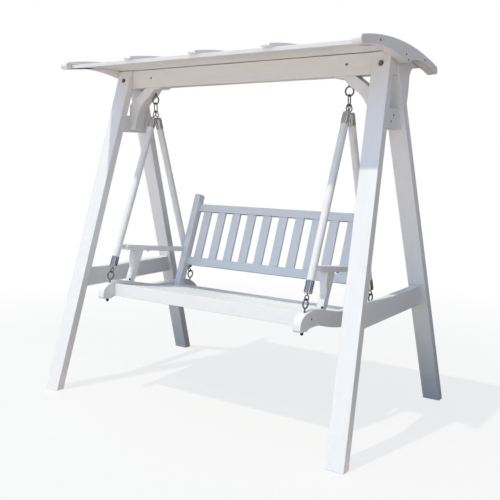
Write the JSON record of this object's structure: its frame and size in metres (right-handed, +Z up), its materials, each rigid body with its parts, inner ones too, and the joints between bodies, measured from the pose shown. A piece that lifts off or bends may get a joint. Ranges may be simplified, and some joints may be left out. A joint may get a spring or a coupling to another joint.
{
  "type": "porch swing seat",
  "caption": "Garden swing: a slatted two-seat bench on rods and links under a curved board roof between two raked timber A-frames.",
  "frame": {"origin": "on the ground, under the middle of the beam and midway between the four feet", "axes": "+Z up, +Y towards the back of the swing, +X to the right as seen from the front"},
  "size_m": [1.85, 1.15, 1.8049],
  "materials": {
    "painted_timber": "white satin paint over timber, with faint grain",
    "polished_steel": "polished steel",
    "zinc_steel": "dull zinc-plated steel"
  },
  "bodies": {
    "frame": {"leg_front_left": "painted_timber", "leg_front_right": "painted_timber", "leg_rear_left": "painted_timber", "leg_rear_right": "painted_timber", "lower_rail_left": "painted_timber", "lower_rail_right": "painted_timber", "upper_rail_left": "painted_timber", "upper_rail_right": "painted_timber", "beam": "painted_timber", "knee_brace_left": "painted_timber", "knee_brace_right": "painted_timber", "corbel_left": "painted_timber", "corbel_right": "painted_timber", "rafter_left": "painted_timber", "rafter_right": "painted_timber", "roof_board_1": "painted_timber", "roof_board_2": "painted_timber", "roof_board_3": "painted_timber", "roof_board_4": "painted_timber", "roof_board_5": "painted_timber", "roof_board_6": "painted_timber", "roof_board_7": "painted_timber", "roof_batten_left": "painted_timber", "roof_batten_mid": "painted_timber", "roof_batten_right": "painted_timber", "leg_bolts": "zinc_steel", "rafter_screws": "zinc_steel", "frame_screws": "zinc_steel", "barrel_nuts": "zinc_steel", "beam_eye_left": "zinc_steel", "beam_eye_right": "zinc_steel"},
    "left_link": {"swing_link_left": "zinc_steel"},
    "right_link": {"swing_link_right": "zinc_steel"},
    "bench": {"rod_front_left": "painted_timber", "rod_front_right": "painted_timber", "rod_rear_left": "painted_timber", "rod_rear_right": "painted_timber", "ferrules_upper": "polished_steel", "ferrules_lower": "polished_steel", "rod_eyes_upper": "zinc_steel", "rod_eyes_lower": "zinc_steel", "rail_eyes": "zinc_steel", "rail_nuts": "zinc_steel", "seat_rail_left": "painted_timber", "seat_rail_right": "painted_timber", "seat_front_rail": "painted_timber", "seat_rear_rail": "painted_timber", "seat_bearers": "painted_timber", "seat_slats": "painted_timber", "back_post_left": "painted_timber", "back_post_right": "painted_timber", "back_top_rail": "painted_timber", "back_lower_rail": "painted_timber", "back_slats": "painted_timber", "armrest_left": "painted_timber", "armrest_right": "painted_timber", "arm_post_left": "painted_timber", "arm_post_right": "painted_timber", "bench_bolts": "zinc_steel"}
  },
  "joints": [
    {"name": "left_link_swing", "type": "hinge", "parent": "frame", "child": "left_link", "pos_m": [-0.611, 0, 1.5755], "axis": [1, 0, 0], "range_deg": [-25, 25]},
    {"name": "right_link_swing", "type": "hinge", "parent": "frame", "child": "right_link", "pos_m": [0.611, 0, 1.5755], "axis": [1, 0, 0], "range_deg": [-25, 25]},
    {"name": "bench_swing", "type": "hinge", "parent": "left_link", "child": "bench", "pos_m": [-0.611, 0, 1.5409], "axis": [1, 0, 0], "range_deg": [-12, 12]}
  ],
  "couplings": [
    {"joint": "right_link_swing", "follows": "left_link_swing", "ratio": 1}
  ]
}
